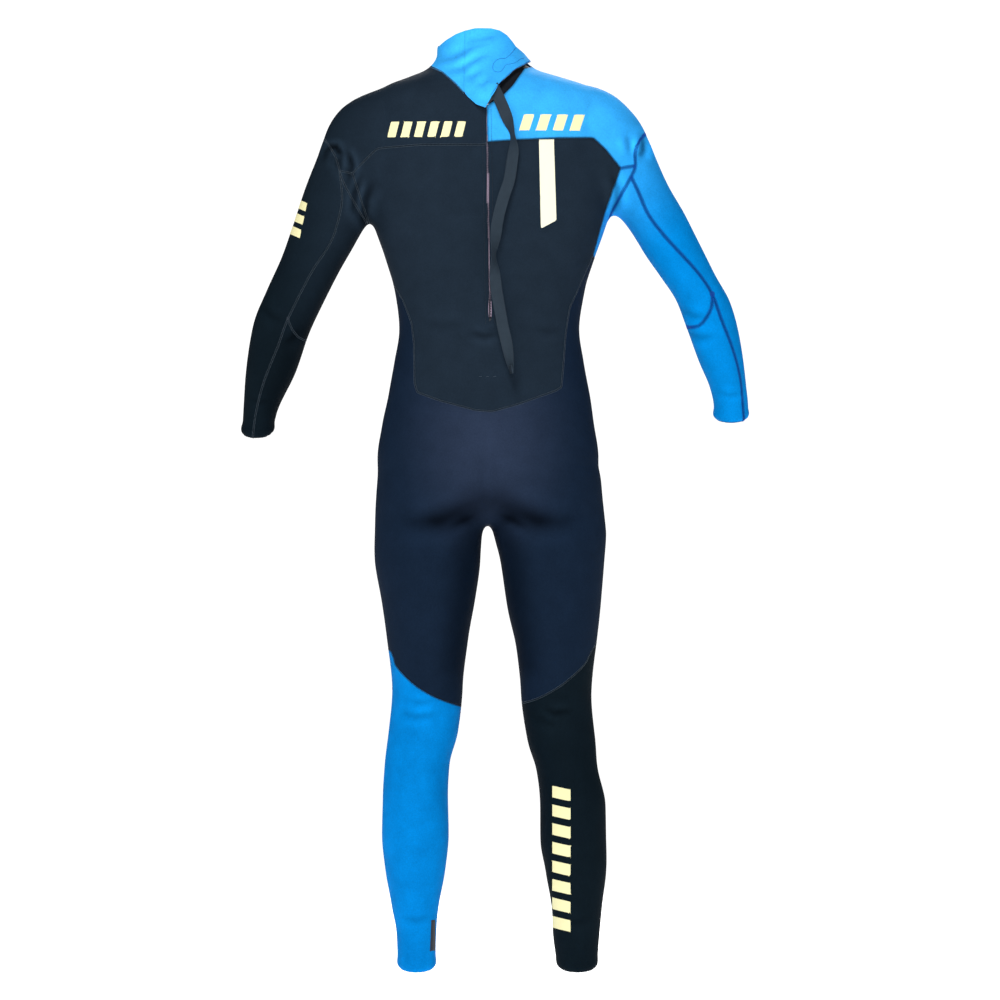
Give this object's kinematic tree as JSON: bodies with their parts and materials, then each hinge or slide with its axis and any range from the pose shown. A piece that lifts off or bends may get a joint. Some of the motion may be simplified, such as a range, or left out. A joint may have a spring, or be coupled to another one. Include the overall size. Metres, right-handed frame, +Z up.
{
  "type": "full wetsuit",
  "caption": "Full-length neoprene wetsuit in worn shape, with a back zip, a webbing pull leash and an overlapping collar flap.",
  "frame": {"origin": "middle of the neck opening", "axes": "+Z up along the body, +X to the wearer's right, the back faces -Y"},
  "size_m": [0.789, 0.2342, 1.4678],
  "materials": {
    "neoprene_black": "nylon jersey",
    "neoprene_navy": "nylon jersey",
    "neoprene_blue": "nylon jersey",
    "knee_rubber": "moulded rubber",
    "print_cream": "matt print",
    "print_dark": "matt print",
    "hem_tape": "bonded tape",
    "hook_loop": "hook and loop",
    "zip_tape": "woven tape",
    "zip_teeth": "moulded",
    "slider": "satin",
    "puller": "moulded",
    "webbing": "woven webbing"
  },
  "bodies": {
    "suit": {"back_panel": "neoprene_black", "yoke_left": "neoprene_black", "yoke_right": "neoprene_blue", "chest_panel": "neoprene_black", "front_panel": "neoprene_navy", "seat_panel": "neoprene_navy", "underarm_left": "neoprene_black", "underarm_right": "neoprene_blue", "sleeve_outer_left": "neoprene_black", "sleeve_outer_right": "neoprene_blue", "sleeve_under_left": "neoprene_black", "sleeve_under_right": "neoprene_blue", "forearm_under_left": "neoprene_black", "forearm_under_right": "neoprene_blue", "lower_leg_left": "neoprene_blue", "lower_leg_right": "neoprene_black", "knee_pad_left": "knee_rubber", "knee_pad_right": "knee_rubber", "wrist_hem_left": "hem_tape", "wrist_hem_right": "hem_tape", "ankle_hem_left": "hem_tape", "ankle_hem_right": "hem_tape", "collar": "neoprene_blue", "neck_seal": "neoprene_black", "loop_patch": "hook_loop", "zip_backing": "neoprene_black", "zip_tape_left": "zip_tape", "zip_tape_right": "zip_tape", "zip_teeth_left": "zip_teeth", "zip_teeth_right": "zip_teeth", "zip_top_stops": "zip_teeth", "zip_bottom_stop": "zip_teeth", "back_stripe": "print_cream", "back_mark_left": "print_cream", "back_mark_right": "print_cream", "sleeve_mark": "print_cream", "calf_mark": "print_cream", "ankle_mark": "print_dark", "elbow_spots": "print_dark"},
    "slider": {"zip_slider": "slider"},
    "puller": {"zip_puller": "puller"},
    "leash": {"leash": "webbing", "leash_end": "webbing"},
    "flap": {"collar_flap": "neoprene_blue", "hook_patch": "hook_loop"}
  },
  "joints": [
    {"name": "zip_slide", "type": "slide", "parent": "suit", "child": "slider", "axis": [0.0171, 0.0111, -0.9998], "range_m": [0, 0.325], "deforming": ["zip_teeth_left", "zip_teeth_right"]},
    {"name": "puller_lift", "type": "hinge", "parent": "slider", "child": "puller", "pos_m": [-0.001, -0.1002, -0.07], "axis": [0.6823, 0, -0.7311], "range_deg": [0, 5]},
    {"name": "leash_swing", "type": "hinge", "parent": "puller", "child": "leash", "pos_m": [0.014, -0.102, -0.058], "axis": [-0.8924, 0, -0.4512], "range_deg": [0, 60]},
    {"name": "flap_open", "type": "hinge", "parent": "suit", "child": "flap", "pos_m": [-0.037, -0.108, -0.054], "axis": [0, -0.3511, -0.9363], "range_deg": [0, 110]}
  ],
  "couplings": [
    {"joint": "puller_lift", "follows": "leash_swing", "ratio": 0.083333}
  ]
}
